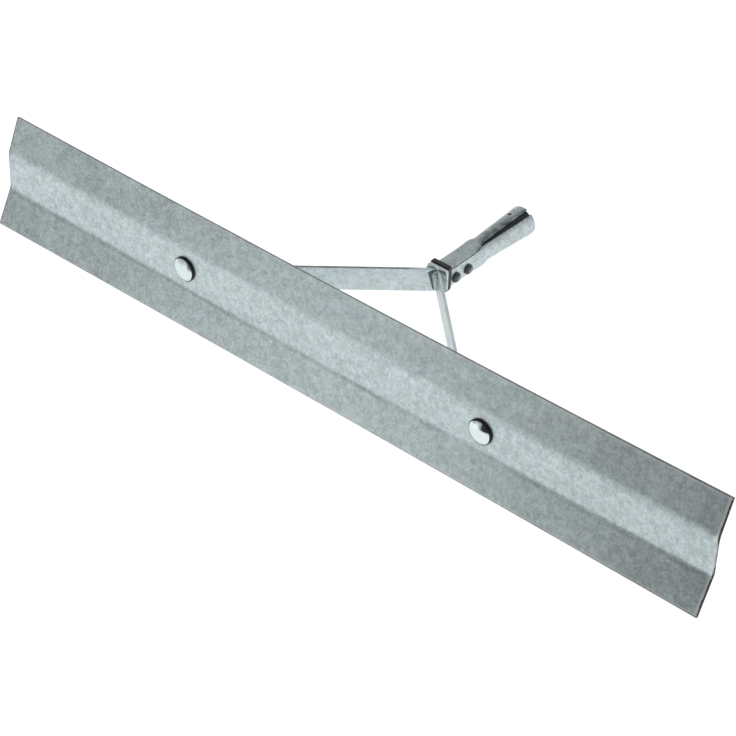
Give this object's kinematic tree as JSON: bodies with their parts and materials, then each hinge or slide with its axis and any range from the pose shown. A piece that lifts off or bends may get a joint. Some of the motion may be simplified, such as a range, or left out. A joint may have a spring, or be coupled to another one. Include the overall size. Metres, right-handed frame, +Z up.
{
  "type": "bull float head with folded blade and strap bracket",
  "caption": "Long galvanised folded-sheet concrete float head on a V of flat-bar braces, with a pressed socket for a long handle.",
  "frame": {"origin": "middle of the footprint, on the floor the tool stands on", "axes": "+X along the blade, to the right seen from the working side; +Y back toward the handle; +Z up"},
  "size_m": [0.9144, 0.3268, 0.1129],
  "materials": {
    "galvanised_sheet": "galvanised sheet, thin zinc coat with fine mottled grain, dulled satin",
    "galvanised_bar": "galvanised flat bar, satin",
    "zinc_fastener": "bright zinc plate",
    "black_steel": "black enamel, satin",
    "black_fastener": "black oxide, satin",
    "weld_metal": "weld fillet, as laid"
  },
  "bodies": {
    "root": {"blade": "galvanised_sheet", "brace_left": "galvanised_bar", "blade_bolt_left": "zinc_fastener", "blade_washer_left": "zinc_fastener", "blade_lock_washer_left": "zinc_fastener", "blade_nut_left": "zinc_fastener", "crown_weld_left": "weld_metal", "brace_right": "galvanised_bar", "blade_bolt_right": "zinc_fastener", "blade_washer_right": "zinc_fastener", "blade_lock_washer_right": "zinc_fastener", "blade_nut_right": "zinc_fastener", "crown_weld_right": "weld_metal", "crown_plate": "galvanised_bar", "crown_rivet": "black_fastener", "tang_bracket": "black_steel", "handle_socket": "galvanised_sheet", "tang_bolt_front": "black_fastener", "tang_washer_front": "zinc_fastener", "tang_nut_front": "black_fastener", "tang_bolt_rear": "black_fastener", "tang_washer_rear": "zinc_fastener", "tang_nut_rear": "black_fastener"}
  },
  "joints": []
}
